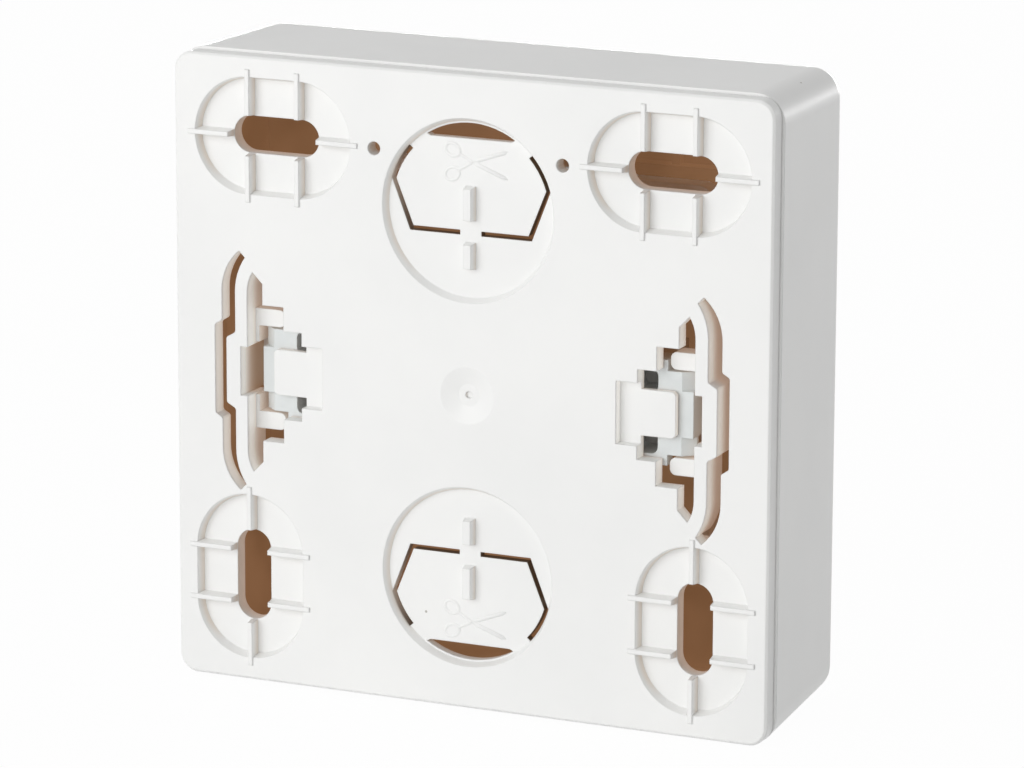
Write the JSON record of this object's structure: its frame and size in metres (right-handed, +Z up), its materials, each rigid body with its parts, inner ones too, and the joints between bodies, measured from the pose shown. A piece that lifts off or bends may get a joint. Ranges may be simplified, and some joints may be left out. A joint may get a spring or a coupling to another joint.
{
  "type": "surface mounted socket",
  "caption": "Square white surface mounted data socket: slotted base plate with knock-outs and sprung latches, clip-on hood, centre plate and hinged dust flaps over the ports.",
  "frame": {"origin": "centre of the wall plane that the ribs' tops lie in, midway between the four screw slots", "axes": "+Y into the wall, out of the back; -Y into the room, out of the front; +Z up; +X to the right for someone who faces the front"},
  "size_m": [0.0808, 0.0257, 0.0808],
  "materials": {
    "white_moulding": "satin moulded, pure white",
    "grey_moulding": "satin moulded, light grey",
    "dark_moulding": "fine matt, black",
    "block_moulding": "satin moulded, off-white",
    "board_laminate": "lacquered glass fibre laminate, green",
    "shield_sheet": "tinned sheet",
    "contact_wire": "gold plated",
    "blade_metal": "tinned bronze",
    "screw_steel": "zinc plated"
  },
  "bodies": {
    "socket": {"base_plate": "white_moulding", "hood": "white_moulding", "centre_plate": "white_moulding", "carrier": "grey_moulding", "cable_saddle": "grey_moulding", "circuit_board": "board_laminate", "centre_screw": "screw_steel", "board_screws": "screw_steel", "jack_housing_right": "dark_moulding", "jack_shield_right": "shield_sheet", "jack_contacts_right": "contact_wire", "terminal_block_right": "block_moulding", "terminal_contacts_right": "blade_metal", "jack_housing_left": "dark_moulding", "jack_shield_left": "shield_sheet", "jack_contacts_left": "contact_wire", "terminal_block_left": "block_moulding", "terminal_contacts_left": "blade_metal"},
    "right_flap": {"dust_flap_right": "white_moulding"},
    "left_flap": {"dust_flap_left": "white_moulding"}
  },
  "joints": [
    {"name": "right_flap_hinge", "type": "hinge", "parent": "socket", "child": "right_flap", "pos_m": [0.0125, -0.0247, 0.0042], "axis": [-1, 0, 0], "range_deg": [0, 90]},
    {"name": "left_flap_hinge", "type": "hinge", "parent": "socket", "child": "left_flap", "pos_m": [-0.0125, -0.0247, 0.0042], "axis": [-1, 0, 0], "range_deg": [0, 90]}
  ]
}
